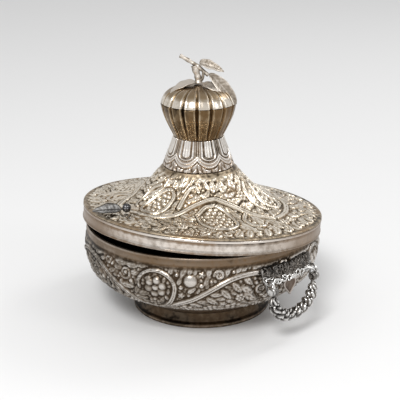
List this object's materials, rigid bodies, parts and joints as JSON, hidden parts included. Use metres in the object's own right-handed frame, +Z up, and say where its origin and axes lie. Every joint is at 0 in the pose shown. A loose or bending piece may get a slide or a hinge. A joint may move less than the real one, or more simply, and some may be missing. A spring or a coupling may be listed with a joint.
{
  "type": "covered silver box",
  "caption": "Round silver box on a foot ring: chased bowl with two swinging wreath handles, and a lift-off domed lid with a fluted knob and a leafy branch.",
  "frame": {"origin": "middle of the foot ring's underside", "axes": "+Z up; +X and -X point at the two handles; -Y is the side that the lid's small sprig is on"},
  "size_m": [0.1782, 0.1603, 0.1721],
  "materials": {
    "bowl_silver": "chased silver, dark in the hollows, worn bright on the high points",
    "lid_silver": "chased silver with a warm tarnish",
    "polished_silver": "smooth worn silver",
    "gilt_tarnish": "silver with a golden brown tarnish",
    "tarnished_silver": "dull brown tarnish",
    "cast_silver": "cast silver, matt, with dark hollows",
    "dark_silver": "blackened cast silver"
  },
  "bodies": {
    "bowl": {"bowl_body": "bowl_silver", "foot_ring": "tarnished_silver", "right_bracket": "cast_silver", "right_pendant": "cast_silver", "right_pin_front": "cast_silver", "right_pin_back": "cast_silver", "left_bracket": "cast_silver", "left_pendant": "cast_silver", "left_pin_front": "cast_silver", "left_pin_back": "cast_silver"},
    "lid": {"lid_rim_band": "polished_silver", "lid_dome": "lid_silver", "lid_neck": "polished_silver", "knob_cup": "gilt_tarnish", "knob_cap": "polished_silver", "finial_branch": "cast_silver", "finial_leaf_right": "cast_silver", "finial_leaf_top": "cast_silver", "finial_leaf_left": "cast_silver", "finial_leaf_small": "cast_silver", "sprig_leaf": "cast_silver", "sprig_bud": "dark_silver"},
    "right_handle": {"right_bail": "cast_silver"},
    "left_handle": {"left_bail": "cast_silver"}
  },
  "joints": [
    {"name": "lid_lift", "type": "slide", "parent": "bowl", "child": "lid", "axis": [0, 0, 1], "range_m": [0, 0.09]},
    {"name": "right_bail_swing", "type": "hinge", "parent": "bowl", "child": "right_handle", "pos_m": [0.085, 0, 0.0385], "axis": [0, -1, 0], "range_deg": [-18, 100]},
    {"name": "left_bail_swing", "type": "hinge", "parent": "bowl", "child": "left_handle", "pos_m": [-0.085, 0, 0.0385], "axis": [0, 1, 0], "range_deg": [-18, 100]}
  ]
}
